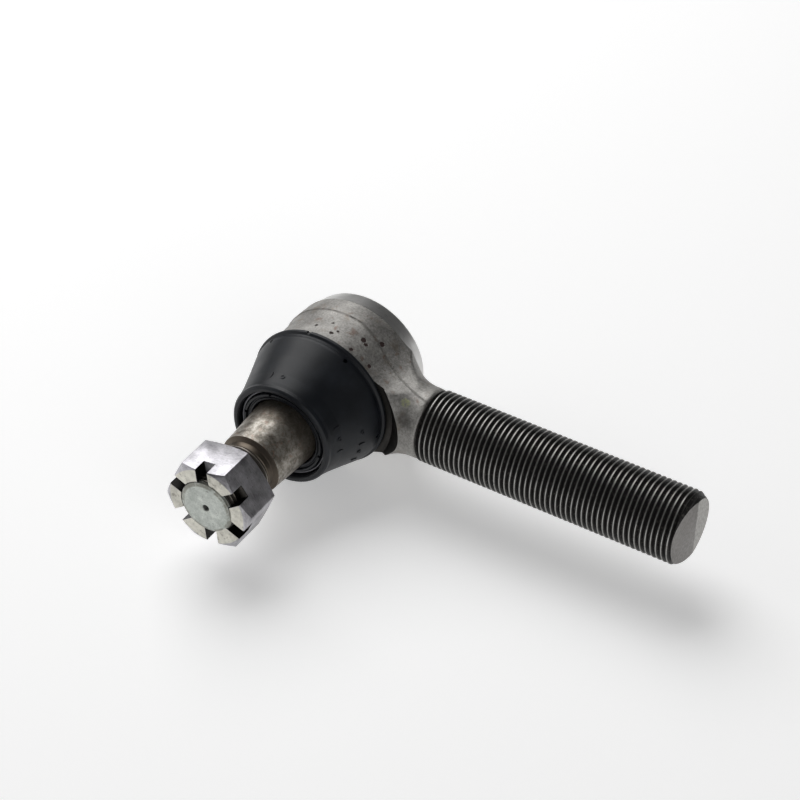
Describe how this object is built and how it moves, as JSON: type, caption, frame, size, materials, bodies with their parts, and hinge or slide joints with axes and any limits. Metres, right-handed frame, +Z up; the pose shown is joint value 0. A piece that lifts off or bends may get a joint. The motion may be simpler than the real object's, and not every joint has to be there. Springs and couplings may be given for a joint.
{
  "type": "tie rod end",
  "caption": "Ball joint for a steering linkage: forged socket on a threaded shank, tapered ball stud with slotted nut, rubber dust boot and grease fitting.",
  "frame": {"origin": "centre of the ball, where the stud's axis meets the shank's axis", "axes": "+X along the shank towards its threaded tip; -Y along the ball stud towards its threaded end; +Z up, square to both, with the joint lying on its side"},
  "size_m": [0.1816, 0.1196, 0.0584],
  "materials": {
    "forged_steel": "as forged, shot blasted, with the shank's thread oiled and dark in its roots",
    "hardened_steel": "ground",
    "acetal": "moulded, smooth",
    "spring_steel": "dark, oiled",
    "gasket": "matt",
    "plated_steel": "zinc plated",
    "rubber": "satin, moulded",
    "stud_steel": "turned, with light surface rust on the taper",
    "nut_steel": "plated, satin, with worn edges"
  },
  "bodies": {
    "housing": {"housing": "forged_steel", "front_race": "hardened_steel", "cap_gasket": "gasket", "end_cap": "plated_steel", "preload_spring": "spring_steel", "grease_fitting": "plated_steel", "check_spring": "spring_steel", "dust_boot": "rubber", "boot_insert_ring": "spring_steel"},
    "bearing_shell": {"bearing_shell": "acetal"},
    "boot_garter": {"boot_garter_ring": "spring_steel"},
    "stud": {"ball_stud": "stud_steel", "slotted_nut": "nut_steel"},
    "rear_seat": {"rear_seat": "hardened_steel"},
    "check_ball": {"check_ball": "hardened_steel"}
  },
  "joints": [
    {"name": "stud_swing_along_shank", "type": "hinge", "parent": "housing", "child": "bearing_shell", "pos_m": [0, 0, 0], "axis": [0, 0, 1], "range_deg": [-18, 18], "deforming": ["dust_boot"]},
    {"name": "stud_swing_across_shank", "type": "hinge", "parent": "bearing_shell", "child": "boot_garter", "pos_m": [0, 0, 0], "axis": [1, 0, 0], "range_deg": [-18, 18], "deforming": ["dust_boot"]},
    {"name": "stud_spin", "type": "hinge", "parent": "boot_garter", "child": "stud", "pos_m": [0, 0, 0], "axis": [0, -1, 0], "continuous": true},
    {"name": "seat_float", "type": "slide", "parent": "housing", "child": "rear_seat", "axis": [0, 1, 0], "range_m": [0, 0.0006], "stiffness_N_per_m": 30000, "deforming": ["preload_spring"]},
    {"name": "check_ball_lift", "type": "slide", "parent": "housing", "child": "check_ball", "axis": [0, -1, 0], "range_m": [0, 0.001], "stiffness_N_per_m": 200, "springref_m": -0.002, "deforming": ["check_spring"]}
  ]
}
